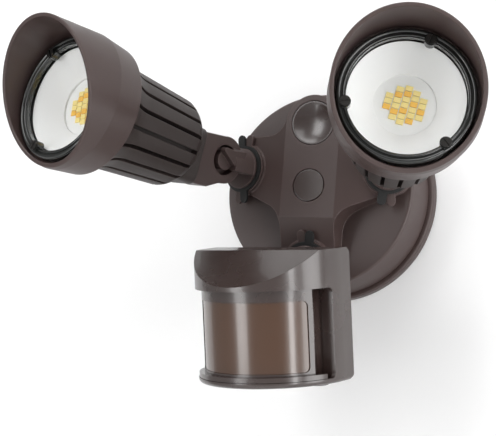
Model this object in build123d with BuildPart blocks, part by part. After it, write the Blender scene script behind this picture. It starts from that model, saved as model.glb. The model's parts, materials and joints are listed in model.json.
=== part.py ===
from build123d import *
import os
from math import asin, atan2, cos, degrees, radians, sin, sqrt, tan

# Wall-mounted security light: two swivelling lamp heads and a motion sensor on a round canopy.
# Millimetres. X to the viewer's right, Y into the wall, Z up, wall face at Y = 0.

# ---- fits and clearances
running = 0.06      # radial clearance of a turning shank in its bore
free = 0.3          # between curved faces on bodies that move past each other
fixed_gap = 0.1     # around a screw in its clearance hole
wall = 3.0          # casting thickness

# ---- base ring and wall gasket
base_radius = 60.0
base_ring_width = 11.0
base_thickness = 6.6
gasket_edge = 4.0            # rim of the base ring outside the gasket
gasket_width = 4.0
gasket_depth = 2.4
base_inner_radius = base_radius - base_ring_width
gasket_outer_radius = base_radius - gasket_edge
gasket_inner_radius = gasket_outer_radius - gasket_width

# ---- mounting crossbar, for a ceiling box with screws 70 to 89 mm apart
bar_end_gap = 2.0            # between the bar's ends and the base ring
bar_length = 2 * (base_inner_radius - bar_end_gap)
bar_width = 19.0
bar_thickness = 2.0
slot_length = 14.3
slot_width = 4.8
slot_end_wall = 0.15
slot_spacing = bar_length - slot_length - 2 * slot_end_wall
bar_boss_radius = 6.0
bar_boss_height = 3.0

# ---- canopy casting
canopy_step = 2.8            # the base ring shows this far round the casting
canopy_draft = 1.8           # the casting's side leans in by this much
canopy_rim_radius = base_radius - canopy_step
canopy_front_radius = canopy_rim_radius - canopy_draft
canopy_floor_depth = 32.6    # the low quadrants, from the wall
canopy_face_depth = 49.2     # the raised cross
canopy_gap = 1.0             # shadow gap above the base ring
spigot_width = 2.4
edge_round = 1.6
arm_half_width = 16.0        # top and bottom arms
top_arm_height = 35.6        # centre of the top arm's round end
wing_top = 29.0              # upper edge of the side arms
wing_blend = 12.0            # round corner above the side arms
wing_rise = 24.6             # slope of the lower edge of the side arms, degrees
wing_corner_height = -14.7   # where that edge would meet the bottom arm
wing_fillet = 14.5
side_fold = 16.0             # where the side arms start to slope
bottom_fold = 18.0           # the same for the bottom arm
splay = 21.5                 # slope of the arms, and lean of the three stems, degrees
boss_wall = 2.4

# ---- cap, plug and centre screw
cap_radius = 9.0
cap_thickness = 2.4
cap_gap = 0.45
plug_radius = 12.4
plug_thickness = 4.0
plug_dish_radius = 30.0
plug_shank_radius = 10.2
plug_shank_length = 9.0
centre_screw_radius = 2.4
centre_screw_head_radius = 4.4
centre_screw_head_height = 2.8
centre_boss_radius = 8.0
screw_slot_width = 1.2

# ---- stems: a threaded shank turns in the canopy under a lock nut
stem_height = 10.3           # height of the lamp stems
stem_reach = 28.5            # from the fold to the stem, along the slope
sensor_stem_reach = 26.9
shank_radius = 10.4
shank_inside = 12.0
pad_radius = 14.6
pad_height = 0.6
nut_radius = 14.2
nut_thickness = 1.6
seal_radius = 13.4           # the seal lies on the nut
seal_thickness = 1.3
ear_reach = 20.0
ear_width = 5.0
ear_turn = 9.0               # half the angle between the seal's ears and the nut's
collar_radius = 11.5
collar_thickness = 1.3
retainer_radius = 12.4
retainer_thickness = 3.0
wire_bore_radius = 4.0

# ---- knuckle between stem and lamp
pivot_reach = 24.2           # where the lamp's axis crosses the stem's, above the canopy slope
pivot_rise = 1.7             # pivot above the lamp's axis
cup_radius = 13.3
cup_face = 6.0               # open side of the cup, from the lamp's axis
cup_back = 8.0
recess_radius = 8.6
recess_depth = 5.4
hub_radius = 5.6
tongue_radius = 11.2
tongue_flat = 3.2            # flat underside of the tongue, below the stem's axis
tongue_length = 19.6
lug_thickness = 4.0
lug_outline = ((-12.0, -3.2), (-8.0, -3.2), (-6.2, -1.9), (5.2, 6.4), (4.0, 8.4), (-3.4, 7.6), (-12.0, 8.4))
lug_round = 1.2
pivot_screw_radius = 2.6
pivot_screw_depth = 4.4      # how far the screw enters the hub
pivot_head_radius = 5.2
pivot_head_height = 2.8
pivot_head_depth = 3.4
hex_key_radius = 2.4
split_gap = 0.3             # between the cup and the tongue beside it

# ---- lamp head, distances along its axis from the pivot
lamp_swivel = {"left": 7.05, "right": 7.86}    # photographed turn about the stem, degrees
lamp_tilt = {"left": 6.6, "right": 5.93}       # photographed tilt, degrees
neck_top = 11.8              # heights are from the lamp's axis
neck_bottom = -17.6
neck_belly = -16.4
neck_belly_reach = 9.0
shoulder_rear = 22.0         # square end of the finned casting, which the neck meets
shoulder_half_width = 11.5
shoulder_top = 13.0
shoulder_bottom = -19.0
shoulder_round = 5.0
shoulder_edge = 1.0
housing_rear = 31.0
housing_rear_radius = 17.0
groove_end = 6.0             # smooth part behind the grooves
fin_rear = 40.0
fin_rear_radius = 25.0
fin_front = 78.0
fin_front_radius = 28.0
collar_start = 94.0
collar_start_radius = 35.4
seam = 110.0
seam_radius = 37.4
rim_top = 142.2
rim_bottom = 113.8
rim_radius = 36.0
hood_wall = 1.9
fin_count = 18
fin_offset = 8.0             # angle of the first groove, degrees
fin_groove_width = 2.2
fin_root_radius = 18.5
lens_seat_radius = 33.6
lens_fit = 0.25
ring_inner_radius = 28.8
ring_front = 115.4
ring_thickness = 2.6
lens_thickness = 2.2
seal_ring_thickness = 1.4
reflector_throat_radius = 15.4
reflector_depth = 10.0
reflector_wall = 1.2
board_thickness = 1.6
board_margin = 4.0
chip_width = 3.0
chip_length = 2.1
chip_height = 0.7
chip_column_pitch = 4.0
chip_row_pitch = 2.6
chips_in_column = (3, 6, 7, 6, 4)
lens_screw_circle_radius = 29.4
lens_screw_radius = 1.5
lens_boss_radius = 3.0
lens_boss_height = 1.6

# ---- sensor head, in its own upright frame: front is -y, origin on the axis of the round front
sensor_yaw = -12.0
sensor_tilt = 12.4
sensor_radius = 42.2
sensor_back = 9.8
sensor_top = 34.6
sensor_bottom = -35.3
sensor_wall = 3.2
visor_half_angle = 68.8
visor_drop = 17.4
window_top = 14.8
window_bottom = -32.3
window_back = -7.6
back_cover_thickness = 2.4
window_recess = 3.3          # the lens holder lies this far behind the round front
lens_holder_radius = sensor_radius - window_recess
lens_holder_wall = 3.0
lens_holder_half_angle = 64.0
holder_lip = 0.8
sensor_lens_top = 8.9
sensor_lens_bottom = -28.2
sensor_lens_half_angle = 60.0
sensor_lens_wall = 1.2
window_round = 2.5
sensor_lens_round = 3.0
bulkhead_front = -7.4
bulkhead_thickness = 2.4
sensor_board_thickness = 1.6
detector_radius = 4.6
detector_height = 7.0
photocell_radius = 2.6
knob_radius = 5.4
knob_height = 2.6
knob_inset = 17.2            # from the side of the sensor
knob_place = (sensor_radius - knob_inset, 1.0)
dial_radius = 3.4
dial_depth = 3.0
dial_places = ((8.0, 1.0), (-6.0, 1.0))
photocell_place = (-18.0, 1.0)
case_screw_radius = 2.6
case_screw_inset = 8.1

# ---- ball joint behind the sensor
ball_radius = 9.0
ball_neck_radius = 4.6
ball_height = 18.7           # ball centre in the sensor's frame
ball_back = 19.4
socket_outer_radius = 13.4
ball_neck_length = 12.6      # from the middle of the ball to the cone
socket_lip = 5.0             # how far the socket wraps past the middle of the ball
friction_ring_width = 4.4
friction_ring_thickness = 1.1

os.makedirs("parts", exist_ok=True)


def unit(x, y, z):
    return Vector(x, y, z).normalized()


def frame(origin, axis, side):
    """A frame with z along a part's axis and x to its side."""
    return Plane(origin=origin, x_dir=side, z_dir=axis)


def across(base, distance=0.0):
    """Section plane square to the frame's axis."""
    return base.offset(distance)


def along(base):
    """Plane through the frame's axis: local x is its side, local y runs along the axis."""
    return Plane(origin=base.origin, x_dir=base.x_dir, z_dir=-base.y_dir)


def axis_of(base):
    return Axis(base.origin, base.z_dir)


# ---- depths of the lens stack, from the front backwards
ring_back = ring_front - ring_thickness
lens_back = ring_back - lens_thickness
gasket_back = lens_back - seal_ring_thickness
reflector_back = lens_back - reflector_depth
board_front = reflector_back - reflector_wall
board_back = board_front - board_thickness
stack_radius = lens_seat_radius - lens_fit


def place(base, x, y, z):
    """A point of the model given in a frame's own coordinates."""
    return base.origin + base.x_dir * x + base.y_dir * y + base.z_dir * z


def save(part, name):
    part.label = name
    export_step(part, f"parts/{name}.step")


def ring(base, inner, outer, start, end):
    """A plain ring on a frame's axis between two distances."""
    with BuildPart() as made:
        with BuildSketch(across(base, start)):
            Circle(outer)
            Circle(inner, mode=Mode.SUBTRACT)
        extrude(amount=end - start)
    return made.part


def rod(base, radius, start, end):
    with BuildPart() as made:
        with BuildSketch(across(base, start)):
            Circle(radius)
        extrude(amount=end - start)
    return made.part


# ---- frames of the three stems and of what they carry
canopy_frame = frame((0, 0, 0), (0, -1, 0), (1, 0, 0))
splay_sin, splay_cos = sin(radians(splay)), cos(radians(splay))


def stem_frame(side):
    """On the slope of a side arm (side = -1 left, 1 right), z leaving the canopy."""
    reach = side_fold + stem_reach * splay_cos
    depth = canopy_face_depth - stem_reach * splay_sin
    axis = unit(side * splay_sin, -splay_cos, 0)
    return frame((side * reach, -depth, stem_height), axis, unit(splay_cos, side * splay_sin, 0))


def sensor_stem_frame():
    reach = bottom_fold + sensor_stem_reach * splay_cos
    depth = canopy_face_depth - sensor_stem_reach * splay_sin
    return frame((0, -depth, -reach), unit(0, -splay_cos, -splay_sin), (1, 0, 0))


def lamp_frame(name, side):
    """Where the two axes cross: x along the tilt axis, y up the lamp, z forward along it."""
    stem = stem_frame(side)
    turn = radians(side * lamp_swivel[name])
    tilt_axis = stem.x_dir * cos(turn) + stem.y_dir * sin(turn)
    upright = stem.y_dir * cos(turn) - stem.x_dir * sin(turn)
    lean = radians(lamp_tilt[name])
    forward = stem.z_dir * cos(lean) + upright * sin(lean)
    return frame(place(stem, 0, 0, pivot_reach), forward, tilt_axis)


def sensor_frame():
    """x to the sensor's right, y backwards, z up the sensor."""
    yaw, tilt = radians(sensor_yaw), radians(sensor_tilt)
    x_dir = Vector(cos(yaw), sin(yaw), 0)
    y_dir = Vector(-sin(yaw) * cos(tilt), cos(yaw) * cos(tilt), sin(tilt))
    z_dir = x_dir.cross(y_dir)
    ball = place(sensor_stem_frame(), 0, 0, pivot_reach)
    return frame(ball - y_dir * ball_back - z_dir * ball_height, z_dir, x_dir)


stems = {"left": stem_frame(-1), "right": stem_frame(1), "sensor": sensor_stem_frame()}
lamps = {"left": lamp_frame("left", -1), "right": lamp_frame("right", 1)}
inward = {"left": 1, "right": -1}    # the open side of each knuckle faces the middle
first_screw_angle = {"left": 8.0, "right": 63.0}
chip_turn = {"left": 10.0, "right": -20.0}
sensor = sensor_frame()


def pivot_frame(name, forward):
    """On the tilt axis of a lamp, z towards the open side of the cup, x forward."""
    lamp = lamps[name]
    return frame(place(lamp, 0, pivot_rise, 0), lamp.x_dir * inward[name], forward)


# ---- base ring, gasket and crossbar
def make_base_ring():
    with BuildPart() as base_ring:
        with BuildSketch(across(canopy_frame)):
            Circle(base_radius)
            Circle(base_inner_radius, mode=Mode.SUBTRACT)
        extrude(amount=base_thickness)
        front = base_ring.faces().sort_by(Axis.Y)[0].edges().sort_by(SortBy.LENGTH)[-1]
        fillet(front, edge_round)
        with BuildSketch(across(canopy_frame)):
            Circle(gasket_outer_radius)
            Circle(gasket_inner_radius, mode=Mode.SUBTRACT)
        extrude(amount=gasket_depth, mode=Mode.SUBTRACT)
    save(base_ring.part, "base_ring")


def make_crossbar():
    with BuildPart() as crossbar:
        with BuildSketch(across(canopy_frame)):
            RectangleRounded(bar_length, bar_width, 3)
        extrude(amount=bar_thickness)
        with BuildSketch(across(canopy_frame, bar_thickness)):
            Circle(bar_boss_radius)
        extrude(amount=bar_boss_height)
        with BuildSketch(across(canopy_frame)):
            with Locations((-slot_spacing / 2, 0), (slot_spacing / 2, 0)):
                SlotOverall(slot_length, slot_width)
            Circle(centre_screw_radius + running)
        extrude(amount=bar_thickness + bar_boss_height, mode=Mode.SUBTRACT)
    save(crossbar.part, "crossbar")


# ---- canopy casting
def cross_outline(inset=0.0):
    """Right half of the raised cross, seen from the front; inset shrinks it for the cavity."""
    half = arm_half_width - inset
    round_end = half
    top = wing_top - inset
    blend = wing_blend + inset
    rise = radians(wing_rise)
    corner = Vector(half, wing_corner_height + inset / cos(rise) - inset * tan(rise))
    fillet_radius = wing_fillet + inset
    run = fillet_radius / tan(radians(90 + wing_rise) / 2)
    far = base_radius
    low = Vector(half, corner.Y - run)
    high = corner + Vector(cos(rise), sin(rise)) * run
    wing_end = corner + Vector(cos(rise), sin(rise)) * ((far - half) / cos(rise))
    rise_to_centre = top + blend - top_arm_height
    blend_x = sqrt((round_end + blend) ** 2 - rise_to_centre ** 2)
    touch = Vector(blend_x, rise_to_centre) * (round_end / (round_end + blend))
    with BuildSketch(Plane.XY) as outline:
        with BuildLine():
            Line((0, -far), (half, -far))
            Line((half, -far), low)
            RadiusArc(low, high, fillet_radius)
            Line(high, wing_end)
            Line(wing_end, (far, top))
            Line((far, top), (blend_x, top))
            RadiusArc((blend_x, top), (touch.X, top_arm_height + touch.Y), blend)
            TangentArc((touch.X, top_arm_height + touch.Y), (0, top_arm_height + round_end),
                       tangent=(-touch.Y, touch.X))
            Line((0, top_arm_height + round_end), (0, -far))
        make_face()
        mirror(about=Plane.YZ)
    return outline.sketch


def slope_planes(inset=0.0):
    """Outer planes of the two side arms and the bottom arm."""
    face = canopy_face_depth - inset
    shift = inset * (1 - splay_cos) / splay_sin
    return [
        frame((side_fold - shift, -face, 0), unit(splay_sin, -splay_cos, 0), (0, 0, 1)),
        frame((shift - side_fold, -face, 0), unit(-splay_sin, -splay_cos, 0), (0, 0, 1)),
        frame((0, -face, shift - bottom_fold), unit(0, -splay_cos, -splay_sin), (1, 0, 0)),
    ]


def canopy_mass(inset=0.0):
    """Disc and raised cross as one solid; inset gives the cavity inside it."""
    back = 0 if inset else canopy_gap + base_thickness
    cross_back = canopy_floor_depth - 2 * inset if inset else base_thickness
    disc_radius = canopy_rim_radius - (inset + spigot_width if inset else 0)
    cross_radius = canopy_front_radius - (inset + spigot_width if inset else 0.4)
    lean = degrees(atan2(canopy_rim_radius - canopy_front_radius, canopy_floor_depth - base_thickness))
    with BuildPart() as mass:
        with BuildSketch(across(canopy_frame, back)):
            Circle(disc_radius)
        extrude(amount=canopy_floor_depth - inset - back, taper=0 if inset else lean)
        if not inset:
            front = mass.faces().sort_by(Axis.Y)[0].edges()
            fillet(front, edge_round)
        with BuildSketch(across(canopy_frame, cross_back)):
            add(cross_outline(inset))
            Circle(cross_radius, mode=Mode.INTERSECT)
        extrude(amount=canopy_face_depth - inset - cross_back)
        for slope in slope_planes(inset):
            with BuildSketch(slope):
                Rectangle(4 * base_radius, 4 * base_radius)
            extrude(amount=base_radius, mode=Mode.SUBTRACT)
    return mass.part


def canopy_cavity():
    """Wiring space inside the casting, less the bosses that stand in it."""
    with BuildPart() as cavity:
        add(canopy_mass(wall))
        for stem in stems.values():
            with BuildSketch(across(stem, -shank_inside)):
                Circle(shank_radius + boss_wall)
            extrude(amount=2 * shank_inside, mode=Mode.SUBTRACT)
        with BuildSketch(across(canopy_frame, canopy_face_depth)):
            Circle(centre_boss_radius)
        extrude(amount=-(wall + cap_thickness + centre_screw_head_height + 4), mode=Mode.SUBTRACT)
        with BuildSketch(across(canopy_frame, canopy_face_depth)):
            with Locations((0, top_arm_height)):
                Circle(plug_radius + boss_wall)
        extrude(amount=-(plug_thickness + wall + 2), mode=Mode.SUBTRACT)
    return cavity.part


def make_canopy():
    with BuildPart() as canopy_housing:
        add(canopy_mass())
        for stem in stems.values():
            with BuildSketch(across(stem, -wall)):
                Circle(pad_radius)
            extrude(amount=wall + pad_height)
        with BuildSketch(across(canopy_frame, base_thickness)):
            Circle(canopy_rim_radius - spigot_width)
            Circle(canopy_rim_radius - 2 * spigot_width, mode=Mode.SUBTRACT)
        extrude(amount=canopy_gap)
        add(canopy_cavity(), mode=Mode.SUBTRACT)
        for stem in stems.values():
            with BuildSketch(across(stem, -2 * shank_inside)):
                Circle(shank_radius + running)
            extrude(amount=3 * shank_inside, mode=Mode.SUBTRACT)
            with BuildSketch(across(stem, -shank_inside)):
                Circle(retainer_radius + free)
            extrude(amount=-retainer_thickness - 3 * free, mode=Mode.SUBTRACT)
        with BuildSketch(across(canopy_frame, canopy_face_depth)):
            Circle(cap_radius + cap_gap)
        extrude(amount=-cap_thickness, mode=Mode.SUBTRACT)
        with BuildSketch(across(canopy_frame, canopy_face_depth - cap_thickness)):
            Circle(centre_screw_head_radius + cap_gap)
        extrude(amount=-centre_screw_head_height, mode=Mode.SUBTRACT)
        with BuildSketch(across(canopy_frame, canopy_face_depth)):
            Circle(centre_screw_radius + fixed_gap)
        extrude(amount=-canopy_face_depth, mode=Mode.SUBTRACT)
        with BuildSketch(across(canopy_frame, canopy_face_depth)):
            with Locations((0, top_arm_height)):
                Circle(plug_radius + cap_gap)
        extrude(amount=-plug_thickness, mode=Mode.SUBTRACT)
        with BuildSketch(across(canopy_frame, canopy_face_depth)):
            with Locations((0, top_arm_height)):
                Circle(plug_shank_radius + fixed_gap)
        extrude(amount=-canopy_face_depth, mode=Mode.SUBTRACT)
    save(canopy_housing.part, "canopy_housing")


def make_centre_screw():
    head_top = canopy_face_depth - cap_thickness
    head_seat = head_top - centre_screw_head_height
    with BuildPart() as centre_screw:
        with BuildSketch(across(canopy_frame, head_seat)):
            Circle(centre_screw_head_radius)
        extrude(amount=centre_screw_head_height)
        with BuildSketch(across(canopy_frame)):
            Circle(centre_screw_radius)
        extrude(amount=head_seat)
        with BuildSketch(across(canopy_frame, head_top)):
            Rectangle(2 * centre_screw_head_radius, screw_slot_width)
        extrude(amount=-screw_slot_width, mode=Mode.SUBTRACT)
    save(centre_screw.part, "centre_screw")


def make_centre_cap():
    with BuildPart() as centre_cap:
        with BuildSketch(across(canopy_frame, canopy_face_depth - cap_thickness)):
            Circle(cap_radius)
        extrude(amount=cap_thickness)
        fillet(centre_cap.faces().sort_by(Axis.Y)[0].edges(), 0.4)
    save(centre_cap.part, "centre_cap")


def make_top_plug():
    plug = frame(place(canopy_frame, 0, top_arm_height, 0), canopy_frame.z_dir, canopy_frame.x_dir)
    seat = canopy_face_depth - plug_thickness
    dish = plug_dish_radius - sqrt(plug_dish_radius ** 2 - (plug_radius - 0.8) ** 2)
    with BuildPart() as top_plug:
        with BuildSketch(across(plug, seat)):
            Circle(plug_radius)
        extrude(amount=plug_thickness)
        with BuildSketch(across(plug, seat - plug_shank_length)):
            Circle(plug_shank_radius)
        extrude(amount=plug_shank_length)
        with BuildSketch(along(plug)):
            with Locations((0, canopy_face_depth - dish + plug_dish_radius)):
                Circle(plug_dish_radius)
            with Locations((-plug_dish_radius, canopy_face_depth)):
                Rectangle(2 * plug_dish_radius, 4 * plug_dish_radius, mode=Mode.SUBTRACT)
        revolve(axis=axis_of(plug), mode=Mode.SUBTRACT)
    save(top_plug.part, "top_plug")


# ---- seals, lock nuts, stems
def eared_ring(stem, radius, start, thickness, turn):
    """A ring on the shank with two ears to turn it by."""
    with BuildPart() as made:
        with BuildSketch(across(stem, start)):
            Circle(radius)
            with PolarLocations(0, 2, start_angle=90 + turn):
                with Locations((ear_reach / 2, 0)):
                    SlotOverall(ear_reach, ear_width)
            Circle(shank_radius + running, mode=Mode.SUBTRACT)
        extrude(amount=thickness)
    return made.part


def make_lock_rings(name, stem):
    turn = ear_turn if name == "left" else -ear_turn
    save(eared_ring(stem, nut_radius, pad_height, nut_thickness, -turn), f"{name}_lock_nut")
    start = pad_height + nut_thickness
    save(eared_ring(stem, seal_radius, start, seal_thickness, turn), f"{name}_stem_seal")


def make_stem_retainer(name, stem):
    with BuildPart() as retainer:
        with BuildSketch(across(stem, -retainer_end)):
            RegularPolygon(retainer_radius, 12)
            Circle(shank_radius + running, mode=Mode.SUBTRACT)
        extrude(amount=retainer_thickness)
    save(retainer.part, f"{name}_stem_retainer")


collar_base = pad_height + seal_thickness + nut_thickness + free
retainer_end = shank_inside + free + retainer_thickness


def make_lamp_stem(name):
    stem, lamp, inside = stems[name], lamps[name], inward[name]
    crossing = frame(lamp.origin, stem.z_dir, lamp.x_dir)
    pivot = pivot_frame(name, stem.z_dir)
    beside_face = cup_face + split_gap
    beside_cup = Plane(origin=place(lamp, inside * beside_face, 0, 0), x_dir=stem.z_dir, z_dir=-lamp.x_dir)
    tongue_start = collar_base + collar_thickness
    with BuildPart() as lamp_stem:
        # half-round tongue, cut back for the cup and left long beside it
        with BuildSketch(across(crossing, tongue_start - pivot_reach)):
            Circle(tongue_radius)
            with Locations((0, -tongue_flat - tongue_radius)):
                Rectangle(4 * tongue_radius, 2 * tongue_radius, mode=Mode.SUBTRACT)
        extrude(amount=tongue_length - tongue_start)
        with BuildSketch(across(pivot, beside_face)):
            Circle(cup_radius + free)
        extrude(amount=-4 * cup_radius, mode=Mode.SUBTRACT)
        with BuildSketch(beside_cup):
            Polygon(*lug_outline, align=None)
            fillet(vertices().sort_by(Axis.X)[-2:], lug_round)
        extrude(amount=-inside * lug_thickness)
        with BuildSketch(across(pivot, cup_face - recess_depth + split_gap)):
            Circle(hub_radius)
        extrude(amount=recess_depth + split_gap / 2)
        with BuildSketch(across(pivot, cup_face - recess_depth)):
            Circle(pivot_screw_radius + running)
        extrude(amount=split_gap + pivot_screw_depth, mode=Mode.SUBTRACT)
        with BuildSketch(across(stem, -retainer_end)):
            Circle(shank_radius)
        extrude(amount=retainer_end + collar_base)
        with BuildSketch(across(stem, collar_base)):
            Circle(collar_radius)
        extrude(amount=collar_thickness)
        with BuildSketch(across(stem, -retainer_end)):
            Circle(wire_bore_radius)
        extrude(amount=retainer_end + collar_base, mode=Mode.SUBTRACT)
    save(lamp_stem.part, f"{name}_stem")


def make_lamp_knuckle(name):
    lamp, inside = lamps[name], inward[name]
    pivot = pivot_frame(name, lamp.z_dir)
    open_side = Plane(origin=place(lamp, inside * cup_face, 0, 0), x_dir=lamp.z_dir, z_dir=-lamp.x_dir)
    with BuildPart() as knuckle:
        with BuildSketch(open_side):
            Polygon((0, pivot_rise + cup_radius), (shoulder_rear, neck_top), (shoulder_rear, neck_bottom),
                    (neck_belly_reach, neck_belly), (0, pivot_rise - cup_radius), align=None)
        extrude(amount=inside * (cup_face + cup_back))
        with BuildSketch(across(pivot, -cup_back)):
            Circle(cup_radius)
        extrude(amount=cup_back + cup_face)
        with BuildSketch(across(pivot, cup_face)):
            Circle(recess_radius)
        extrude(amount=-recess_depth, mode=Mode.SUBTRACT)
        with BuildSketch(across(pivot, -cup_back)):
            Circle(pivot_screw_radius + running)
        extrude(amount=cup_back + cup_face, mode=Mode.SUBTRACT)
        with BuildSketch(across(pivot, -cup_back + pivot_head_depth)):
            Circle(pivot_head_radius + fixed_gap)
        extrude(amount=-2 * cup_radius, mode=Mode.SUBTRACT)
    save(knuckle.part, f"{name}_lamp_knuckle")


def make_pivot_screw(name):
    pivot = pivot_frame(name, lamps[name].z_dir)
    seat = -cup_back + pivot_head_depth
    tip = cup_face - recess_depth + split_gap + pivot_screw_depth - 0.4
    with BuildPart() as screw:
        with BuildSketch(across(pivot, seat - pivot_head_height)):
            Circle(pivot_head_radius)
        extrude(amount=pivot_head_height)
        with BuildSketch(across(pivot, seat - pivot_head_height)):
            RegularPolygon(hex_key_radius, 6)
        extrude(amount=pivot_head_height / 2, mode=Mode.SUBTRACT)
        with BuildSketch(across(pivot, seat)):
            Circle(pivot_screw_radius)
        extrude(amount=tip - seat)
    save(screw.part, f"{name}_pivot_screw")


# ---- lamp head
def make_lamp_housing(name):
    lamp = lamps[name]
    front_radius = collar_start_radius - 1
    with BuildPart() as housing:
        with BuildSketch(along(lamp)):
            with BuildLine():
                Line((0, housing_rear), (housing_rear_radius, housing_rear))
                RadiusArc((housing_rear_radius, housing_rear), (fin_rear_radius, fin_rear), -16)
                Line((fin_rear_radius, fin_rear), (fin_front_radius, fin_front))
                RadiusArc((fin_front_radius, fin_front), (front_radius, collar_start), 26)
                Polyline((front_radius, collar_start), (stack_radius, collar_start),
                         (stack_radius, gasket_back), (0, gasket_back), (0, housing_rear))
            make_face()
        revolve(axis=axis_of(lamp))
        with BuildSketch(across(lamp, shoulder_rear)):
            with Locations((0, (shoulder_top + shoulder_bottom) / 2)):
                RectangleRounded(2 * shoulder_half_width, shoulder_top - shoulder_bottom, shoulder_round)
        extrude(amount=fin_rear - shoulder_rear)
        fillet(housing.faces().sort_by(axis_of(lamp))[0].edges(), shoulder_edge)
        with BuildSketch(across(lamp, housing_rear + groove_end)):
            with PolarLocations(fin_root_radius + base_radius / 2, fin_count, start_angle=fin_offset):
                Rectangle(base_radius, fin_groove_width)
        extrude(amount=collar_start - housing_rear - groove_end - 2, mode=Mode.SUBTRACT)
        # room for the LED board and the back of the reflector
        with BuildSketch(across(lamp, board_back)):
            Circle(ring_inner_radius)
        extrude(amount=gasket_back - board_back, mode=Mode.SUBTRACT)
    save(housing.part, f"{name}_lamp_housing")


def make_hood(name):
    lamp = lamps[name]
    bore = lens_seat_radius
    slant = degrees(atan2(rim_top - rim_bottom, 2 * rim_radius))
    middle = (rim_top + rim_bottom) / 2
    rim_plane = frame(place(lamp, 0, 0, middle),
                      lamp.z_dir * cos(radians(slant)) - lamp.y_dir * sin(radians(slant)), lamp.x_dir)
    with BuildPart() as hood:
        with BuildSketch(along(lamp)):
            with BuildLine():
                Polyline((bore, collar_start), (collar_start_radius, collar_start), (seam_radius, seam),
                         (rim_radius, rim_top + 2), (rim_radius - hood_wall, rim_top + 2),
                         (seam_radius - hood_wall - 0.6, seam + ring_thickness), (bore, seam + 1),
                         close=True)
            make_face()
        revolve(axis=axis_of(lamp))
        with BuildSketch(rim_plane):
            Circle(3 * rim_radius)
        extrude(amount=rim_top, mode=Mode.SUBTRACT)
        rims = hood.faces().sort_by(lambda f: (f.center() - lamp.origin).dot(rim_plane.z_dir))[-1].edges()
        fillet(rims, 0.5)
    save(hood.part, f"{name}_hood")


def screw_circle(name):
    return PolarLocations(lens_screw_circle_radius, 3, start_angle=first_screw_angle[name])


def make_lens_stack(name):
    """Gasket, clear lens and black ring, clamped in that order in front of the reflector."""
    lamp = lamps[name]
    save(ring(lamp, ring_inner_radius + 1, stack_radius, gasket_back, lens_back), f"{name}_lens_gasket")
    save(rod(lamp, stack_radius, lens_back, ring_back), f"{name}_lens")
    with BuildPart() as lens_ring:
        with BuildSketch(across(lamp, ring_back)):
            Circle(stack_radius)
            Circle(ring_inner_radius, mode=Mode.SUBTRACT)
            with screw_circle(name):
                Circle(lens_boss_radius)
        extrude(amount=ring_thickness)
        chamfer(lens_ring.faces().sort_by(axis_of(lamp))[-1].edges().sort_by(SortBy.LENGTH)[-1], 0.5)
        with BuildSketch(across(lamp, ring_front)):
            with screw_circle(name):
                Circle(lens_boss_radius)
        extrude(amount=lens_boss_height)
        with BuildSketch(across(lamp, ring_back)):
            with screw_circle(name):
                Circle(lens_screw_radius + fixed_gap)
        extrude(amount=ring_thickness + lens_boss_height, mode=Mode.SUBTRACT)
    save(lens_ring.part, f"{name}_lens_ring")
    with BuildPart() as screws:
        with BuildSketch(across(lamp, ring_back)):
            with screw_circle(name):
                Circle(lens_screw_radius)
        extrude(amount=ring_thickness + lens_boss_height)
        with BuildSketch(across(lamp, ring_front + lens_boss_height)):
            with screw_circle(name):
                Circle(lens_boss_radius - 0.5)
        extrude(amount=1.0)
        with BuildSketch(across(lamp, ring_front + lens_boss_height + 1.0)):
            with screw_circle(name):
                Rectangle(2 * lens_boss_radius, 0.8)
        extrude(amount=-0.6, mode=Mode.SUBTRACT)
    save(screws.part, f"{name}_lens_screws")


def make_reflector(name):
    """White dish from the lens down to the LED board."""
    lamp = lamps[name]
    rim, throat = ring_inner_radius - free, reflector_throat_radius
    with BuildPart() as reflector:
        with BuildSketch(along(lamp)):
            with BuildLine():
                Polyline((rim, lens_back), (throat, reflector_back), (throat, board_front),
                         (throat + reflector_wall, board_front), (rim, lens_back - 2 * reflector_wall),
                         close=True)
            make_face()
        revolve(axis=axis_of(lamp))
    save(reflector.part, f"{name}_reflector")
    with BuildPart() as board:
        with BuildSketch(across(lamp, board_back)):
            Circle(throat + board_margin)
        extrude(amount=board_thickness)
    save(board.part, f"{name}_led_board")
    turn = chip_turn[name]
    grid = Plane(origin=place(lamp, 0, 0, board_front), z_dir=lamp.z_dir,
                 x_dir=lamp.x_dir * cos(radians(turn)) + lamp.y_dir * sin(radians(turn)))
    middle = (len(chips_in_column) - 1) / 2
    with BuildPart() as chips:
        with BuildSketch(grid):
            for column, count in enumerate(chips_in_column):
                with Locations(((column - middle) * chip_column_pitch, 0)):
                    with GridLocations(chip_column_pitch, chip_row_pitch, 1, count):
                        Rectangle(chip_width, chip_length)
        extrude(amount=chip_height)
    save(chips.part, f"{name}_led_chips")


# ---- sensor head
def front_section(radius, back):
    """Half round in front, straight sides to the back."""
    with BuildSketch(Plane.XY) as section:
        with BuildLine():
            ThreePointArc((-radius, 0), (0, -radius), (radius, 0))
            Polyline((radius, 0), (radius, back), (-radius, back), (-radius, 0))
        make_face()
    return section.sketch


def sector(radius, half_angle):
    """Pie slice that opens to the front, for trimming round pieces."""
    reach = 2 * radius
    edge = radians(half_angle)
    with BuildSketch(Plane.XY) as slice_sketch:
        with BuildLine():
            Polyline((0, 0), (reach * sin(edge), -reach * cos(edge)), (reach, -2 * reach), (-reach, -2 * reach),
                     (-reach * sin(edge), -reach * cos(edge)), close=True)
        make_face()
    return slice_sketch.sketch


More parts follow.
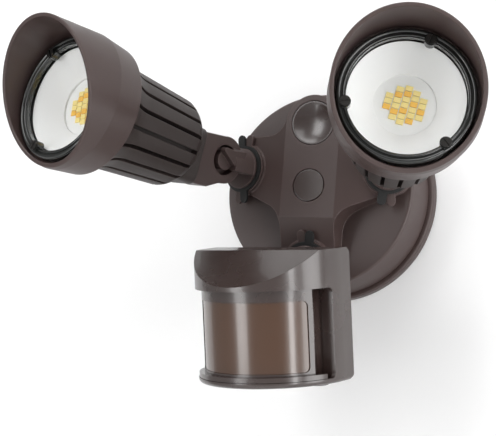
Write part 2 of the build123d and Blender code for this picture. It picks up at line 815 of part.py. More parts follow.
def curved_wall(inner, outer, half_angle, bottom, top, corner=0.0):
    """An upright curved wall on the sensor's axis, its four corners rounded if asked."""
    with BuildPart() as made:
        with BuildSketch(across(sensor, bottom)):
            Circle(outer)
            Circle(inner, mode=Mode.SUBTRACT)
            add(sector(outer, half_angle), mode=Mode.INTERSECT)
        extrude(amount=top - bottom)
        if corner:
            fillet(made.edges().sort_by(SortBy.LENGTH)[:4], corner)
    return made.part


def make_sensor_housing():
    body_back = sensor_back - back_cover_thickness
    room_front = window_back - window_round
    chord = sensor_radius * cos(radians(visor_half_angle))
    lean = atan2(visor_drop, sensor_radius - chord)
    visor = Plane(origin=place(sensor, 0, -chord, sensor_top), x_dir=sensor.x_dir,
                  z_dir=sensor.z_dir * cos(lean) - sensor.y_dir * sin(lean))
    with BuildPart() as housing:
        with BuildSketch(across(sensor, sensor_bottom)):
            add(front_section(sensor_radius, body_back))
        extrude(amount=sensor_top - sensor_bottom)
        with BuildSketch(visor):
            Rectangle(4 * sensor_radius, 4 * sensor_radius)
        extrude(amount=sensor_radius, mode=Mode.SUBTRACT)
        bottom = housing.faces().sort_by(axis_of(sensor))[0].edges()
        fillet(bottom.filter_by(GeomType.CIRCLE), 2.4)
        # window right round the front, and the room behind it
        side_view = Plane(origin=sensor.origin, x_dir=sensor.y_dir, z_dir=sensor.x_dir)
        with BuildSketch(side_view):
            with Locations((window_back - 2 * sensor_radius, (window_top + window_bottom) / 2)):
                RectangleRounded(4 * sensor_radius, window_top - window_bottom, window_round)
        extrude(amount=2 * sensor_radius, both=True, mode=Mode.SUBTRACT)
        with BuildSketch(across(sensor, window_bottom)):
            with Locations((0, (room_front + body_back) / 2)):
                Rectangle(2 * (sensor_radius - sensor_wall), body_back - room_front)
        extrude(amount=window_top - window_bottom, mode=Mode.SUBTRACT)
        with BuildSketch(across(sensor, sensor_bottom)):
            for location in (knob_place,) + dial_places:
                with Locations(location):
                    Circle(dial_radius + free)
        extrude(amount=window_bottom - sensor_bottom, mode=Mode.SUBTRACT)
        with BuildSketch(across(sensor, sensor_bottom)):
            with Locations(photocell_place):
                Circle(photocell_radius + fixed_gap)
        extrude(amount=window_bottom - sensor_bottom, mode=Mode.SUBTRACT)
    save(housing.part, "sensor_housing")


def make_sensor_back():
    body_back = sensor_back - back_cover_thickness
    middle = (sensor_top + sensor_bottom) / 2
    rear = Plane(origin=place(sensor, 0, body_back, 0), x_dir=sensor.x_dir, z_dir=sensor.y_dir)
    socket = frame(place(sensor, 0, ball_back, ball_height), sensor.y_dir, sensor.x_dir)
    with BuildPart() as back:
        with BuildSketch(rear):
            with Locations((0, -middle)):
                RectangleRounded(2 * sensor_radius - 0.6, sensor_top - sensor_bottom - 0.6, 3)
        extrude(amount=back_cover_thickness)
        with BuildSketch(across(socket, body_back + back_cover_thickness - ball_back)):
            Circle(socket_outer_radius)
        extrude(amount=ball_back - body_back - back_cover_thickness + socket_lip)
        with BuildSketch(along(socket)):
            with BuildLine():
                CenterArc((0, 0), ball_radius + friction_ring_thickness + 2 * free, -90, 180)
                Line((0, -(ball_radius + friction_ring_thickness + 2 * free)),
                     (0, ball_radius + friction_ring_thickness + 2 * free))
            make_face()
        revolve(axis=axis_of(socket), mode=Mode.SUBTRACT)
    save(back.part, "sensor_back_cover")


def make_ball_joint():
    """Ball on the sensor's stem and the friction ring that rides on it inside the socket."""
    stem = stems["sensor"]
    ball = place(stem, 0, 0, pivot_reach)
    centre = frame(ball, stem.z_dir, stem.x_dir)
    neck_top = -sqrt(ball_radius ** 2 - ball_neck_radius ** 2)
    with BuildPart() as ball_stem:
        with BuildSketch(across(stem, -retainer_end)):
            Circle(shank_radius)
        extrude(amount=retainer_end + collar_base)
        with BuildSketch(along(centre)):
            with BuildLine():
                Polyline((0, collar_base - pivot_reach), (collar_radius, collar_base - pivot_reach),
                         (collar_radius, collar_base - pivot_reach + collar_thickness),
                         (ball_neck_radius, -ball_neck_length), (ball_neck_radius, neck_top))
                ThreePointArc((ball_neck_radius, neck_top), (ball_radius, 0), (0, ball_radius))
                Line((0, ball_radius), (0, collar_base - pivot_reach))
            make_face()
        revolve(axis=axis_of(centre))
    save(ball_stem.part, "sensor_stem")
    socket = frame(ball, sensor.y_dir, sensor.x_dir)
    inner = ball_radius + free
    outer = inner + friction_ring_thickness
    with BuildPart() as friction_ring:
        with BuildSketch(along(socket)):
            Circle(outer)
            Circle(inner, mode=Mode.SUBTRACT)
            with Locations((outer / 2, -friction_ring_width / 2)):
                Rectangle(outer, friction_ring_width, mode=Mode.INTERSECT)
        revolve(axis=axis_of(socket))
    save(friction_ring.part, "sensor_friction_ring")


def make_sensor_window():
    """Lens holder, Fresnel lens and the bulkhead behind them."""
    holder_bottom, holder_top = window_bottom + 0.2, window_top - 0.2
    with BuildPart() as holder:
        add(curved_wall(lens_holder_radius - lens_holder_wall, lens_holder_radius, lens_holder_half_angle,
                        holder_bottom, holder_top))
        add(curved_wall(lens_holder_radius - 2 * lens_holder_wall, lens_holder_radius + 1,
                        sensor_lens_half_angle, sensor_lens_bottom, sensor_lens_top, sensor_lens_round),
            mode=Mode.SUBTRACT)
        add(curved_wall(lens_holder_radius - 1, sensor_radius - 0.4, lens_holder_half_angle + 8,
                        holder_bottom, sensor_lens_bottom - 1.4))
        with BuildSketch(across(sensor, holder_bottom)):
            with Locations((0, bulkhead_front + bulkhead_thickness / 2)):
                Rectangle(2 * (sensor_radius - sensor_wall) - 0.4, bulkhead_thickness)
        extrude(amount=holder_top - holder_bottom)
        with BuildSketch(across(sensor, holder_bottom)):
            Circle(lens_holder_radius - 1)
            add(sector(lens_holder_radius, lens_holder_half_angle + 8), mode=Mode.INTERSECT)
            with Locations((0, bulkhead_front + sensor_radius)):
                Rectangle(4 * sensor_radius, 2 * sensor_radius, mode=Mode.SUBTRACT)
        extrude(amount=sensor_lens_bottom - holder_bottom - 1.4)
        detector_axis = frame(place(sensor, 0, 0, 0), -sensor.y_dir, sensor.x_dir)
        with BuildSketch(across(detector_axis)):
            Circle(detector_radius + 0.4)
        extrude(amount=3 * detector_height, mode=Mode.SUBTRACT)
    save(holder.part, "sensor_lens_holder")
    lens_outer = lens_holder_radius - holder_lip
    save(curved_wall(lens_outer - sensor_lens_wall, lens_outer, sensor_lens_half_angle,
                     sensor_lens_bottom, sensor_lens_top, sensor_lens_round), "fresnel_lens")


def make_sensor_electronics():
    rear_of_bulkhead = bulkhead_front + bulkhead_thickness
    width = 2 * (sensor_radius - sensor_wall) - 6
    face = frame(place(sensor, 0, rear_of_bulkhead + sensor_board_thickness, 0), -sensor.y_dir, sensor.x_dir)
    with BuildPart() as board:
        with BuildSketch(face):
            with Locations((0, (window_top + window_bottom) / 2)):
                Rectangle(width, window_top - window_bottom - 6)
        extrude(amount=sensor_board_thickness)
    save(board.part, "sensor_board")
    save(rod(face, detector_radius, sensor_board_thickness, sensor_board_thickness + detector_height),
         "motion_detector")
    cell_bottom = place(sensor, photocell_place[0], photocell_place[1], sensor_bottom - 0.6)
    cell = frame(cell_bottom, sensor.z_dir, sensor.x_dir)
    with BuildPart() as photocell:
        with BuildSketch(across(cell)):
            Circle(photocell_radius)
        extrude(amount=window_bottom - sensor_bottom)
        fillet(photocell.faces().sort_by(axis_of(cell))[0].edges(), 0.8)
    save(photocell.part, "photocell")


def make_control(name, spot, radius, proud):
    """A control under the sensor, turned by a slot or by its rim, on a short shaft."""
    base = frame(place(sensor, spot[0], spot[1], sensor_bottom), -sensor.z_dir, sensor.x_dir)
    with BuildPart() as control:
        with BuildSketch(across(base, -(window_bottom - sensor_bottom))):
            Circle(dial_radius)
        extrude(amount=window_bottom - sensor_bottom + min(proud, 0))
        if proud > 0:
            with BuildSketch(across(base, free)):
                Circle(radius)
            extrude(amount=proud - free)
            with BuildSketch(across(base)):
                Circle(dial_radius)
            extrude(amount=free)
        with BuildSketch(across(base, proud)):
            Rectangle(2 * radius, screw_slot_width)
        extrude(amount=-0.9, mode=Mode.SUBTRACT)
    save(control.part, name)


def make_case_screws():
    rear = Plane(origin=place(sensor, 0, sensor_back, 0), x_dir=sensor.x_dir, z_dir=sensor.y_dir)
    side = sensor_radius - case_screw_inset
    heights = (sensor_top - case_screw_inset, sensor_bottom + case_screw_inset)
    spots = [(x, -z) for x in (-side, side) for z in heights]
    with BuildPart() as screws:
        with BuildSketch(rear):
            with Locations(*spots):
                Circle(case_screw_radius)
        extrude(amount=1.2)
        with BuildSketch(rear.offset(1.2)):
            with Locations(*spots):
                Rectangle(2 * case_screw_radius, 0.8)
        extrude(amount=-0.7, mode=Mode.SUBTRACT)
    save(screws.part, "sensor_case_screws")


make_base_ring()
save(ring(canopy_frame, gasket_inner_radius, gasket_outer_radius, 0, gasket_depth), "wall_gasket")
make_crossbar()
make_canopy()
make_centre_screw()
make_centre_cap()
make_top_plug()
for stem_name, stem_place in stems.items():
    make_lock_rings(stem_name, stem_place)
    make_stem_retainer(stem_name, stem_place)
for lamp_name in lamps:
    make_lamp_stem(lamp_name)
    make_lamp_knuckle(lamp_name)
    make_pivot_screw(lamp_name)
    make_lamp_housing(lamp_name)
    make_hood(lamp_name)
    make_lens_stack(lamp_name)
    make_reflector(lamp_name)
make_ball_joint()
make_sensor_housing()
make_sensor_back()
make_sensor_window()
make_sensor_electronics()
make_control("mode_knob", knob_place, knob_radius, knob_height)
make_control("time_dial", dial_places[0], dial_radius, -0.4)
make_control("light_dial", dial_places[1], dial_radius, -0.4)
make_case_screws()
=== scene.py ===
import json
import math

import bmesh
import bpy
from mathutils import Matrix, Vector


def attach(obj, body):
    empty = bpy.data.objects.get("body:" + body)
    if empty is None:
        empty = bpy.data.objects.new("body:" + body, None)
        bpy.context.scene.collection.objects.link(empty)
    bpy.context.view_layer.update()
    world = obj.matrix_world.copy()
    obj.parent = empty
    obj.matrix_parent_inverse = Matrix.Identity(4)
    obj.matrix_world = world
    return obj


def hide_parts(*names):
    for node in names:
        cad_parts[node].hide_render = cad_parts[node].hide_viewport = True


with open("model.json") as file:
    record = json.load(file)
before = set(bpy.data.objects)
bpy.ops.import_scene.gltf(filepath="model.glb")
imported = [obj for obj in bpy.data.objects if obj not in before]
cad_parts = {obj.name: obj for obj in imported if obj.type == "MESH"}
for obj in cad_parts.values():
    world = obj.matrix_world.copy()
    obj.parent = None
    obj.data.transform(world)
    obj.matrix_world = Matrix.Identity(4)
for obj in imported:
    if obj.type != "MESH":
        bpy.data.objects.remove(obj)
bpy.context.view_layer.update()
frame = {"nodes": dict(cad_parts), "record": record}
nodes = frame["nodes"]
print("stage: frame loaded")


# unit vector from the wall towards an azimuth and elevation in degrees, azimuth 0 straight ahead
def towards(azimuth, elevation):
    a, e = math.radians(azimuth), math.radians(elevation)
    return Vector((math.sin(a) * math.cos(e), -math.cos(a) * math.cos(e), math.sin(e)))


# matrix whose columns are three directions
def axes(first, second, third):
    return Matrix((first, second, third)).transposed().to_4x4()


def addObject(name, data):
    made = bpy.data.objects.new(name, data)
    bpy.context.collection.objects.link(made)
    return made


def meshObject(mesh, name, *materials):
    data = bpy.data.meshes.new(name)
    mesh.to_mesh(data)
    mesh.free()
    for material in materials:
        data.materials.append(material)
    return addObject(name, data)


def addPiece(mesh, name, material, body):
    piece = meshObject(mesh, name, material)
    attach(piece, body)
    return piece


# camera, fitted to the photograph: degrees, metres, and millimetres for the lens and its sensor
cameraView = {
    "azimuth": 23.183,
    "elevation": -8.001,
    "roll": 4.567,
    "distance": 0.924592,
    "aimRight": -0.051399,
    "aimUp": -0.014679,
    "lens": 114.563,
    "sensorWidth": 36,
}


def makeCamera(view):
    back = towards(view["azimuth"], view["elevation"])
    right = towards(view["azimuth"] + 90, 0)
    up = back.cross(right)
    aim = right * view["aimRight"] + up * view["aimUp"]
    data = bpy.data.cameras.new("camera")
    data.lens = view["lens"]
    data.sensor_width = view["sensorWidth"]
    camera = addObject("camera", data)
    roll = math.radians(view["roll"])
    rolledRight = right * math.cos(roll) + up * math.sin(roll)
    rolledUp = up * math.cos(roll) - right * math.sin(roll)
    place = Matrix.Translation(aim + back * view["distance"])
    camera.matrix_world = place @ axes(rolledRight, rolledUp, back)
    bpy.context.scene.camera = camera


makeCamera(cameraView)
print("stage: camera placed")


# node helpers
def newMaterial(name):
    material = bpy.data.materials.new(name)
    material.use_nodes = True
    tree = material.node_tree
    tree.nodes.clear()
    output = tree.nodes.new("ShaderNodeOutputMaterial")
    shader = tree.nodes.new("ShaderNodeBsdfPrincipled")
    tree.links.new(shader.outputs[0], output.inputs["Surface"])
    return material, tree, shader


# puts a transparent shader over the material's own wherever the factor is 1
def seeThrough(tree, shader, factor):
    through = tree.nodes.new("ShaderNodeBsdfTransparent")
    mix = tree.nodes.new("ShaderNodeMixShader")
    output = next(n for n in tree.nodes if n.type == "OUTPUT_MATERIAL")
    tree.links.new(factor, mix.inputs[0])
    tree.links.new(shader.outputs[0], mix.inputs[1])
    tree.links.new(through.outputs[0], mix.inputs[2])
    tree.links.new(mix.outputs[0], output.inputs["Surface"])


def newGroup(name, inputs, outputs):
    group = bpy.data.node_groups.new(name, "ShaderNodeTree")
    for label, kind, value in inputs:
        socket = group.interface.new_socket(label, in_out="INPUT", socket_type=kind)
        socket.default_value = value
    for label, kind in outputs:
        group.interface.new_socket(label, in_out="OUTPUT", socket_type=kind)
    return group, group.nodes.new("NodeGroupInput"), group.nodes.new("NodeGroupOutput")


def mathNode(tree, operation, first, second):
    node = tree.nodes.new("ShaderNodeMath")
    node.operation = operation
    for slot, value in enumerate((first, second)):
        if isinstance(value, (int, float)):
            node.inputs[slot].default_value = value
        else:
            tree.links.new(value, node.inputs[slot])
    return node.outputs[0]


def noiseNode(tree, vector, scale, detail=3.0):
    node = tree.nodes.new("ShaderNodeTexNoise")
    node.inputs["Detail"].default_value = detail
    if isinstance(scale, (int, float)):
        node.inputs["Scale"].default_value = scale
    else:
        tree.links.new(scale, node.inputs["Scale"])
    tree.links.new(vector, node.inputs["Vector"])
    return node.outputs["Fac"]


# skin of powder coat and moulded plastic: mottled colour, edges painted paler as a painted highlight,
# uneven gloss, fine pebbles
coatPattern = {
    "cloudScale": 28.0,
    "cloudDetail": 4.0,
    "fineScale": 420.0,
    "fineDetail": 2.0,
    "cloudShare": 0.6,         # of the mottle, the rest is fine
    "edgeGain": 4.0,
    "edgeSamples": 4,
    "glossSpread": (0.3, 0.7),  # cloud values at the lowest and highest gloss
    "grainDetail": 2.0,
}


def makeCoatGroup(pattern):
    group, enter, leave = newGroup(
        "coatSkin",
        [("Colour", "NodeSocketColor", (0.04, 0.03, 0.026, 1)),
         ("Mottle", "NodeSocketFloat", 0.2),
         ("Gloss low", "NodeSocketFloat", 0.35),
         ("Gloss high", "NodeSocketFloat", 0.5),
         ("Grain scale", "NodeSocketFloat", 1400.0),
         ("Grain depth", "NodeSocketFloat", 0.00002),
         ("Edge width", "NodeSocketFloat", 0.0004),
         ("Painted edge highlight", "NodeSocketFloat", 1.0)],
        [("Colour", "NodeSocketColor"), ("Roughness", "NodeSocketFloat"), ("Normal", "NodeSocketVector")])
    place = group.nodes.new("ShaderNodeTexCoord").outputs["Object"]
    cloud = noiseNode(group, place, pattern["cloudScale"], pattern["cloudDetail"])
    fine = noiseNode(group, place, pattern["fineScale"], pattern["fineDetail"])
    mixed = mathNode(group, "ADD", mathNode(group, "MULTIPLY", cloud, pattern["cloudShare"]),
                     mathNode(group, "MULTIPLY", fine, 1 - pattern["cloudShare"]))
    swing = mathNode(group, "MULTIPLY", mathNode(group, "SUBTRACT", mixed, 0.5), enter.outputs["Mottle"])

    rounded = group.nodes.new("ShaderNodeBevel")
    rounded.samples = pattern["edgeSamples"]
    group.links.new(enter.outputs["Edge width"], rounded.inputs["Radius"])
    facing = group.nodes.new("ShaderNodeVectorMath")
    facing.operation = "DOT_PRODUCT"
    group.links.new(rounded.outputs[0], facing.inputs[0])
    group.links.new(group.nodes.new("ShaderNodeNewGeometry").outputs["Normal"], facing.inputs[1])
    # painted highlight: where the rounded normal turns away from the true one, at edges, the colour is made
    # paler
    turned = mathNode(group, "SUBTRACT", 1.0, facing.outputs["Value"])
    edge = mathNode(group, "MINIMUM", mathNode(group, "MULTIPLY", turned, pattern["edgeGain"]), 1.0)
    paintedEdgeHighlight = mathNode(group, "MULTIPLY", edge, enter.outputs["Painted edge highlight"])

    shade = group.nodes.new("ShaderNodeHueSaturation")
    group.links.new(mathNode(group, "ADD", mathNode(group, "ADD", swing, 1.0), paintedEdgeHighlight), shade.inputs["Value"])
    group.links.new(enter.outputs["Colour"], shade.inputs["Color"])
    group.links.new(shade.outputs["Color"], leave.inputs["Colour"])

    gloss = group.nodes.new("ShaderNodeMapRange")
    gloss.inputs["From Min"].default_value, gloss.inputs["From Max"].default_value = pattern["glossSpread"]
    group.links.new(cloud, gloss.inputs["Value"])
    group.links.new(enter.outputs["Gloss low"], gloss.inputs["To Min"])
    group.links.new(enter.outputs["Gloss high"], gloss.inputs["To Max"])
    group.links.new(gloss.outputs[0], leave.inputs["Roughness"])

    bump = group.nodes.new("ShaderNodeBump")
    bump.inputs["Strength"].default_value = 1.0
    grain = noiseNode(group, place, enter.outputs["Grain scale"], pattern["grainDetail"])
    group.links.new(enter.outputs["Grain depth"], bump.inputs["Distance"])
    group.links.new(grain, bump.inputs["Height"])
    group.links.new(rounded.outputs[0], bump.inputs["Normal"])
    group.links.new(bump.outputs[0], leave.inputs["Normal"])
    return group


coatSkin = makeCoatGroup(coatPattern)

# gloss is the roughness from glossy to dull patches, grain its scale and depth, edge the width and paleness
# of the painted edge highlight
finishes = {
    "bronzePaint": {
        "colour": (0.060, 0.039, 0.036), "mottle": 0.2, "gloss": (0.36, 0.48), "grain": (1500, 0.00003),
        "edge": (0.0008, 1.3)},
    # a darker copy of the bronze paint, painted shade for the finned castings
    "shadedFinPaint": {
        "colour": (0.034, 0.025, 0.023), "mottle": 0.2, "gloss": (0.46, 0.58), "grain": (1500, 0.00003),
        "specular": 0.4, "edge": (0.0006, 1.2)},
    "bronzePlastic": {
        "colour": (0.040, 0.025, 0.022), "mottle": 0.15, "gloss": (0.22, 0.3), "grain": (2200, 0.000004),
        "specular": 0.9, "coat": 0.3, "edge": (0.0, 0.0)},
    "blackGloss": {
        "colour": (0.006, 0.007, 0.006), "mottle": 0.2, "gloss": (0.08, 0.16), "grain": (900, 0.000004),
        "specular": 0.6, "coat": 0.6},
    "blackRubber": {
        "colour": (0.008, 0.008, 0.008), "mottle": 0.3, "gloss": (0.5, 0.7), "grain": (1800, 0.00004)},
    "zincSteel": {
        "colour": (0.62, 0.61, 0.58), "mottle": 0.2, "gloss": (0.28, 0.42), "grain": (500, 0.000012),
        "metal": 1.0, "edge": (0.0003, 0.1)},
    "screwBlack": {
        "colour": (0.03, 0.028, 0.026), "mottle": 0.3, "gloss": (0.25, 0.4), "grain": (900, 0.00002),
        "metal": 0.6},
    "whiteSatin": {
        "colour": (0.9, 0.9, 0.89), "mottle": 0.04, "gloss": (0.4, 0.5), "grain": (900, 0.00001),
        "edge": (0.0003, 0.0)},
    "boardGreen": {
        "colour": (0.03, 0.16, 0.06), "mottle": 0.3, "gloss": (0.3, 0.45), "grain": (700, 0.00002)},
    "boardWhite": {
        "colour": (0.9, 0.9, 0.88), "mottle": 0.06, "gloss": (0.35, 0.5), "grain": (900, 0.00002),
        "edge": (0.0002, 0.0)},
    "phosphor": {
        "colour": (0.98, 0.80, 0.30), "mottle": 0.1, "gloss": (0.35, 0.5), "grain": (1500, 0.00002),
        "edge": (0.0001, 0.0)},
    "phosphorWarm": {
        "colour": (0.97, 0.56, 0.09), "mottle": 0.1, "gloss": (0.35, 0.5), "grain": (1500, 0.00002),
        "edge": (0.0001, 0.0)},
    "smokedLens": {
        "colour": (0.066, 0.025, 0.008), "mottle": 0.1, "gloss": (0.2, 0.26), "grain": (500, 0.000002),
        "specular": 1.0, "coat": 0.4, "edge": (0.0003, 0.3)},
    "photocellTint": {
        "colour": (0.10, 0.05, 0.03), "mottle": 0.1, "gloss": (0.08, 0.12), "grain": (500, 0.000004),
        "specular": 0.7},
}
coatRoughness = 0.08


# edge gives the width and the strength of the painted edge highlight
def coated(name, colour, mottle, gloss, grain, specular=0.5, coat=0.0, metal=0.0, edge=(0.0004, 0.6)):
    material, tree, shader = newMaterial(name)
    skin = tree.nodes.new("ShaderNodeGroup")
    skin.node_tree = coatSkin
    settings = {
        "Colour": (*colour, 1), "Mottle": mottle, "Gloss low": gloss[0], "Gloss high": gloss[1],
        "Grain scale": grain[0], "Grain depth": grain[1], "Edge width": edge[0], "Painted edge highlight": edge[1],
    }
    for label, value in settings.items():
        skin.inputs[label].default_value = value
    tree.links.new(skin.outputs["Colour"], shader.inputs["Base Color"])
    tree.links.new(skin.outputs["Roughness"], shader.inputs["Roughness"])
    tree.links.new(skin.outputs["Normal"], shader.inputs["Normal"])
    shader.inputs["Specular IOR Level"].default_value = specular
    shader.inputs["Coat Weight"].default_value = coat
    shader.inputs["Coat Roughness"].default_value = coatRoughness
    shader.inputs["Metallic"].default_value = metal
    return material


# clear lens that lets the light fall on the reflector behind it
clearGlass = {
    "colour": (0.97, 0.98, 0.98),
    "ior": 1.2,
    "gloss": (0.02, 0.06),
    "smudgeScale": 60.0,
}


def clearMaterial(glass):
    material, tree, shader = newMaterial("clearLens")
    shader.inputs["Base Color"].default_value = (*glass["colour"], 1)
    shader.inputs["IOR"].default_value = glass["ior"]
    shader.inputs["Transmission Weight"].default_value = 1.0
    rays = tree.nodes.new("ShaderNodeLightPath")
    lightRay = mathNode(tree, "MAXIMUM", rays.outputs["Is Shadow Ray"], rays.outputs["Is Diffuse Ray"])
    seeThrough(tree, shader, lightRay)
    smudge = noiseNode(tree, tree.nodes.new("ShaderNodeTexCoord").outputs["Object"], glass["smudgeScale"])
    spread = tree.nodes.new("ShaderNodeMapRange")
    spread.inputs["To Min"].default_value, spread.inputs["To Max"].default_value = glass["gloss"]
    tree.links.new(smudge, spread.inputs["Value"])
    tree.links.new(spread.outputs[0], shader.inputs["Roughness"])
    return material


materials = {name: coated(name, **values) for name, values in finishes.items()}
materials["clearLens"] = clearMaterial(clearGlass)

finishOfSlot = {
    "bronze_paint": "bronzePaint",
    "bronze_plastic": "bronzePlastic",
    "black_gloss": "blackGloss",
    "black_rubber": "blackRubber",
    "zinc_steel": "zincSteel",
    "black_screw": "screwBlack",
    "clear_lens": "clearLens",
    "white_reflector": "whiteSatin",
    "white_board": "boardWhite",
    "green_board": "boardGreen",
    "yellow_phosphor": "phosphor",
    "smoked_lens": "smokedLens",
    "clear_photocell": "photocellTint",
}
for part in frame["record"]["subparts"]:
    # painted shade: the finned castings get a darker copy of the bronze paint, for the darker look of the
    # fins under the lamps
    finish = "shadedFinPaint" if part["node"].endswith("lamp_housing") else finishOfSlot[part["material_slot"]]
    for slot in nodes[part["node"]].material_slots:
        slot.material = materials[finish]
print("stage: materials assigned")


# the canopy's arms and stems, and how the lamps are turned in the photograph
stemPlaces = {
    "splay": 21.5,               # slope of the arms and so of the stems
    "faceDepth": 0.0492,         # canopy's flat face, out from the wall
    "length": 0.0242,            # along a stem to the lamp's tilt axis, or to the sensor's ball
    "lampFold": 0.0160,          # middle of the canopy to the fold where an arm starts to slope
    "lampSlope": 0.0285,         # down the arm to its stem
    "lampHeight": 0.0103,
    "sensorFold": 0.0180,
    "sensorSlope": 0.0269,
}
lampAngles = {
    "tilt": {"left": 6.6, "right": 5.93},
    "swivel": {"left": -7.05, "right": 7.86},
}


# where the lamp tilts, and its side, upward and forward directions
def lampFrame(name):
    side = -1 if name == "left" else 1
    spec = stemPlaces
    splay = math.radians(spec["splay"])
    turn = math.radians(lampAngles["swivel"][name])
    tilt = math.radians(lampAngles["tilt"][name])
    away = Vector((side * math.sin(splay), -math.cos(splay), 0))
    across = Vector((math.cos(splay), side * math.sin(splay), 0))
    upright = away.cross(across)
    tiltAxis = across * math.cos(turn) + upright * math.sin(turn)
    lifted = upright * math.cos(turn) - across * math.sin(turn)
    forward = away * math.cos(tilt) + lifted * math.sin(tilt)
    reach = spec["lampFold"] + spec["lampSlope"] * math.cos(splay)
    depth = spec["faceDepth"] - spec["lampSlope"] * math.sin(splay)
    pivot = Vector((side * reach, -depth, spec["lampHeight"])) + away * spec["length"]
    return pivot, tiltAxis, forward.cross(tiltAxis), forward


# LED chips on each board: columns of small blocks inside a round outline, some of them orange
ledCluster = {
    "boardFace": 0.0994,         # forward of the tilt axis
    "columnPitch": 0.0041,
    "rowPitch": 0.0029,
    "chipWidth": 0.0036,
    "chipHeight": 0.0026,
    "thickness": 0.0007,
    "edge": 0.00012,
    "counts": (3, 6, 7, 6, 4),
    "turn": {"left": 10, "right": -20},
    "warmEvery": 3,
    "warmShift": 2,              # rows that the orange pattern moves from column to column
}


def makeLeds(name):
    pivot, tiltAxis, upward, forward = lampFrame(name)
    spec = ledCluster
    turn = math.radians(spec["turn"][name])
    columnAxis = tiltAxis * math.cos(turn) + upward * math.sin(turn)
    rowAxis = upward * math.cos(turn) - tiltAxis * math.sin(turn)
    middle = pivot + forward * (spec["boardFace"] + spec["thickness"] / 2)
    middleColumn = (len(spec["counts"]) - 1) / 2
    size = Matrix.Diagonal((spec["chipWidth"], spec["chipHeight"], spec["thickness"], 1))
    mesh = bmesh.new()
    for column, count in enumerate(spec["counts"]):
        for row in range(count):
            spot = middle + columnAxis * (column - middleColumn) * spec["columnPitch"]
            spot = spot + rowAxis * (row - (count - 1) / 2) * spec["rowPitch"]
            place = Matrix.Translation(spot) @ axes(columnAxis, rowAxis, forward) @ size
            made = bmesh.ops.create_cube(mesh, size=1, matrix=place)
            warm = (row + spec["warmShift"] * column) % spec["warmEvery"] == 0
            for face in {f for v in made["verts"] for f in v.link_faces}:
                face.material_index = 1 if warm else 0
    bmesh.ops.bevel(mesh, geom=mesh.edges[:], offset=spec["edge"], offset_type="OFFSET", affect="EDGES",
                    segments=1, profile=0.5, material=-1)
    piece = meshObject(mesh, name + "LedChips", materials["phosphor"], materials["phosphorWarm"])
    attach(piece, name + "_lamp_head")
    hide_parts(name + "_led_chips")


# two rounded beads round the face of each black lens ring
ringBeads = {
    "front": 0.1154,             # forward of the tilt axis
    "segments": 12,
    "steps": 112,
    "beads": ((0.0321, 0.0011), (0.0299, 0.0007)),  # radius from the lamp's axis, radius of the bead
}


def makeRingBeads(name):
    pivot, tiltAxis, upward, forward = lampFrame(name)
    spec = ringBeads
    middle = pivot + forward * spec["front"]
    section = axes(tiltAxis, forward, tiltAxis.cross(forward))
    mesh = bmesh.new()
    for reach, size in spec["beads"]:
        place = Matrix.Translation(middle + tiltAxis * reach) @ section
        made = bmesh.ops.create_circle(mesh, segments=spec["segments"], radius=size, matrix=place)
        edges = list({e for v in made["verts"] for e in v.link_edges})
        bmesh.ops.spin(mesh, geom=made["verts"] + edges, cent=middle, axis=forward, angle=2 * math.pi,
                       steps=spec["steps"], use_merge=True)
    bmesh.ops.recalc_face_normals(mesh, faces=mesh.faces[:])
    for face in mesh.faces:
        face.smooth = True
    addPiece(mesh, name + "RingBeads", materials["blackGloss"], name + "_lamp_head")


for lampName in ("left", "right"):
    makeLeds(lampName)
    makeRingBeads(lampName)
print("stage: lamp details made")


# sensor head: a curved inner panel closes each side opening, from the lens holder back to the bulkhead
sensorPanels = {
    "yaw": -12.0,
    "tilt": 12.4,
    "ballHeight": 0.0187,        # the ball, above and behind the sensor head's origin
    "ballBack": 0.0194,
    "outline": ((0.0347, -0.0168), (0.0343, -0.0150), (0.0339, -0.0125),  # sideways and backward
                (0.0338, -0.0100), (0.0338, -0.0074)),
    "bottom": -0.0318,
    "top": 0.0143,
    "thickness": 0.0012,
}


# origin, right, backward and upward directions of the sensor head
def sensorFrame():
    spec = stemPlaces
    splay = math.radians(spec["splay"])
    yaw, tilt = math.radians(sensorPanels["yaw"]), math.radians(sensorPanels["tilt"])
    right = Vector((math.cos(yaw), math.sin(yaw), 0))
    backward = Vector((-math.sin(yaw) * math.cos(tilt), math.cos(yaw) * math.cos(tilt), math.sin(tilt)))
    upward = right.cross(backward)
    reach = spec["sensorFold"] + spec["sensorSlope"] * math.cos(splay)
    depth = spec["faceDepth"] - spec["sensorSlope"] * math.sin(splay)
    ball = Vector((0, -depth, -reach)) + Vector((0, -math.cos(splay), -math.sin(splay))) * spec["length"]
    origin = ball - backward * sensorPanels["ballBack"] - upward * sensorPanels["ballHeight"]
    return origin, right, backward, upward


def makeSensorPanels():
    origin, right, backward, upward = sensorFrame()
    spec = sensorPanels
    mesh = bmesh.new()
    for side in (-1, 1):
        chain = [mesh.verts.new(origin + right * side * x + backward * y + upward * spec["bottom"])
                 for x, y in spec["outline"]]
        edges = [mesh.edges.new(pair) for pair in zip(chain, chain[1:])]
        grown = bmesh.ops.extrude_edge_only(mesh, edges=edges)
        lifted = [g for g in grown["geom"] if isinstance(g, bmesh.types.BMVert)]
        bmesh.ops.translate(mesh, verts=lifted, vec=upward * (spec["top"] - spec["bottom"]))
        panel = [g for g in grown["geom"] if isinstance(g, bmesh.types.BMFace)]
        bmesh.ops.recalc_face_normals(mesh, faces=panel)
        if sum((f.normal for f in panel), Vector()).dot(right * side) < 0:
            bmesh.ops.reverse_faces(mesh, faces=panel)
        bmesh.ops.solidify(mesh, geom=panel, thickness=spec["thickness"])
    bmesh.ops.recalc_face_normals(mesh, faces=mesh.faces[:])
    for face in mesh.faces:
        face.smooth = abs(face.normal.dot(upward)) < 0.5  # the top and bottom ends stay flat
    addPiece(mesh, "sensorSidePanels", materials["bronzePlastic"], "sensor_head")


makeSensorPanels()
print("stage: sensor panels made")


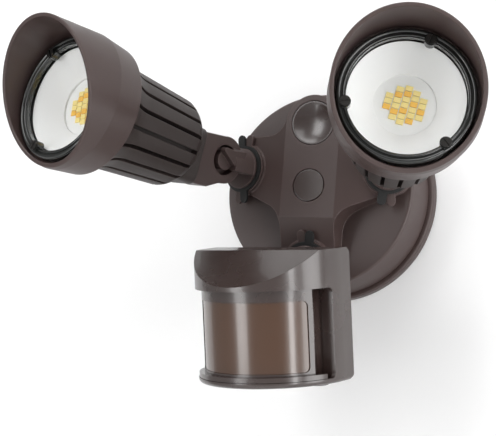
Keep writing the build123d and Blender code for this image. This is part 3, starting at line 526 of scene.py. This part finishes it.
# wall and floor, seen from the front only; the glow keeps them pale to the camera and through the lenses
sheets = {
    "wall": {"place": (0, 0.002, 0), "turn": 90, "halfSize": 0.5, "colour": 0.8, "glow": 0.16},
    "floor": {"place": (0, -1.4, -0.8), "turn": 0, "halfSize": 12, "colour": 0.8, "glow": 0.74},
}
sheetFinish = {
    "roughness": 0.9,
    "specular": 0.1,
    "glowInGloss": 0.2,          # share of the glow that glossy pieces mirror
}


def oneSided(name, colour, glow):
    material, tree, shader = newMaterial(name)
    shader.inputs["Base Color"].default_value = (colour, colour, colour, 1)
    shader.inputs["Roughness"].default_value = sheetFinish["roughness"]
    shader.inputs["Specular IOR Level"].default_value = sheetFinish["specular"]
    shader.inputs["Emission Color"].default_value = (1, 1, 1, 1)
    rays = tree.nodes.new("ShaderNodeLightPath")
    seen = mathNode(tree, "MAXIMUM", rays.outputs["Is Camera Ray"], rays.outputs["Is Transmission Ray"])
    mirrored = mathNode(tree, "MULTIPLY", rays.outputs["Is Glossy Ray"], sheetFinish["glowInGloss"])
    strength = mathNode(tree, "MULTIPLY", mathNode(tree, "MAXIMUM", seen, mirrored), glow)
    tree.links.new(strength, shader.inputs["Emission Strength"])
    seeThrough(tree, shader, tree.nodes.new("ShaderNodeNewGeometry").outputs["Backfacing"])
    return material


for name, spec in sheets.items():
    mesh = bmesh.new()
    bmesh.ops.create_grid(mesh, x_segments=1, y_segments=1, size=spec["halfSize"])
    sheet = meshObject(mesh, name, oneSided(name + "Paint", spec["colour"], spec["glow"]))
    sheet.location = spec["place"]
    sheet.rotation_euler = (math.radians(spec["turn"]), 0, 0)


# soft boxes: two tall ones on the right and one on the left draw the bright bands on the sensor's window
softLights = {
    "keyLeft": {"azimuth": -34, "elevation": 6, "distance": 1.2, "size": (0.42, 1.4), "power": 8.4},
    "sideRight": {"azimuth": 49, "elevation": -4, "distance": 1.3, "size": (0.17, 1.3), "power": 5.0},
    "edgeRight": {"azimuth": 79, "elevation": 0, "distance": 1.3, "size": (0.62, 1.4), "power": 9.6},
    "top": {"azimuth": -14, "elevation": 62, "distance": 1.3, "size": (1.0, 0.7), "power": 7.0},
    "front": {"azimuth": 18, "elevation": 38, "distance": 2.0, "size": (1.2, 0.7), "power": 5.0},
}
lightAim = Vector((0, -0.08, 0))


def makeLight(name, spec):
    back = towards(spec["azimuth"], spec["elevation"])
    data = bpy.data.lights.new(name, "AREA")
    data.shape = "RECTANGLE"
    data.size, data.size_y = spec["size"]
    data.energy = spec["power"]
    light = addObject(name, data)
    light.location = back * spec["distance"] + lightAim
    light.rotation_euler = back.to_track_quat("Z", "Y").to_euler()


for name, spec in softLights.items():
    makeLight(name, spec)


# white to the camera, dimmer as light on the object
worldLevel = {
    "light": 0.3,
    "camera": 1.0,
}


def makeWorld(level):
    world = bpy.data.worlds.new("studio")
    world.use_nodes = True
    tree = world.node_tree
    tree.nodes.clear()
    output = tree.nodes.new("ShaderNodeOutputWorld")
    mix = tree.nodes.new("ShaderNodeMixShader")
    rays = tree.nodes.new("ShaderNodeLightPath")
    tree.links.new(rays.outputs["Is Camera Ray"], mix.inputs[0])
    for slot, strength in ((1, level["light"]), (2, level["camera"])):
        background = tree.nodes.new("ShaderNodeBackground")
        background.inputs["Color"].default_value = (1, 1, 1, 1)
        background.inputs["Strength"].default_value = strength
        tree.links.new(background.outputs[0], mix.inputs[slot])
    tree.links.new(mix.outputs[0], output.inputs["Surface"])
    bpy.context.scene.world = world


makeWorld(worldLevel)
bpy.context.scene.view_settings.view_transform = "Standard"
print("stage: wall and lights set")
